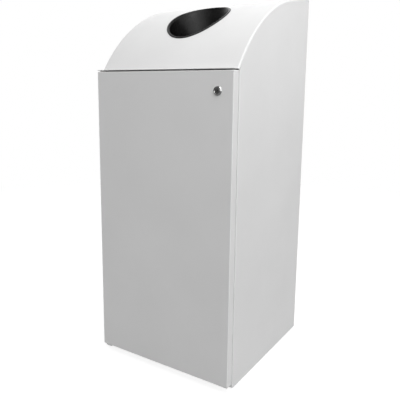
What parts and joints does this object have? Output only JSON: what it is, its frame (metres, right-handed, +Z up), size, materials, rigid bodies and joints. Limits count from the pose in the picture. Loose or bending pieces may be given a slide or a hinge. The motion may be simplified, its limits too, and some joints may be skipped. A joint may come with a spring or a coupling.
{
  "type": "litter bin cabinet",
  "caption": "Lockable sheet-steel litter bin cabinet with a curved hood, an oval throw-in opening, a side-hung door and a lift-out liner with a bail.",
  "frame": {"origin": "on the floor, at the middle of the footprint", "axes": "+Z up, the door faces -Y, the door's hinge is on the -X side, +X to the right as seen from the front"},
  "size_m": [0.4, 0.426, 0.974],
  "materials": {
    "white_powder_coat": "satin powder coat with a fine orange peel",
    "galvanised_steel": "hot-dip galvanised, dull with faint spangle",
    "plated_steel": "bright zinc plate",
    "chrome": "polished",
    "black_plastic": "satin black",
    "black_rubber": "matt",
    "nylon": "natural white"
  },
  "bodies": {
    "cabinet": {"side_panel_left": "white_powder_coat", "side_panel_right": "white_powder_coat", "back_panel": "white_powder_coat", "base_pan": "white_powder_coat", "hood": "white_powder_coat", "front_header": "white_powder_coat", "strike_plate": "plated_steel", "strike_rivets": "plated_steel", "panel_rivets": "plated_steel", "glides": "black_rubber", "glide_screws": "plated_steel", "aperture_collar": "black_plastic", "collar_retainer": "plated_steel", "collar_screws": "plated_steel", "hinge_pin_top": "plated_steel", "hinge_pin_bottom": "plated_steel", "hinge_bracket": "white_powder_coat", "bracket_screws": "plated_steel", "thrust_washer": "nylon", "liner_guides": "plated_steel", "liner_stop": "plated_steel", "liner_backstop": "plated_steel"},
    "door": {"door_panel": "white_powder_coat", "door_stiffener": "white_powder_coat", "door_bush_top": "nylon", "door_bush_bottom": "nylon", "door_bumpers": "black_rubber", "lock_body": "chrome", "lock_nut": "plated_steel"},
    "lock_cylinder": {"lock_plug": "chrome", "lock_cam": "plated_steel", "cam_screw": "plated_steel"},
    "liner": {"liner_bucket": "galvanised_steel", "bail_studs": "plated_steel", "bail_rests": "galvanised_steel", "rest_rivets": "plated_steel"},
    "bail": {"liner_bail": "plated_steel", "bail_grip": "black_plastic"}
  },
  "joints": [
    {"name": "door_hinge", "type": "hinge", "parent": "cabinet", "child": "door", "pos_m": [-0.192, -0.1985, 0.39], "axis": [0, 0, -1], "range_deg": [0, 170]},
    {"name": "lock_turn", "type": "hinge", "parent": "door", "child": "lock_cylinder", "pos_m": [0.16, -0.2, 0.7195], "axis": [0, 1, 0], "range_deg": [0, 90]},
    {"name": "liner_lift", "type": "slide", "parent": "cabinet", "child": "liner", "axis": [0, 0, 1], "range_m": [0, 0.022]},
    {"name": "bail_swing", "type": "hinge", "parent": "liner", "child": "bail", "pos_m": [0, 0, 0.586], "axis": [-1, 0, 0], "range_deg": [0, 180]}
  ]
}
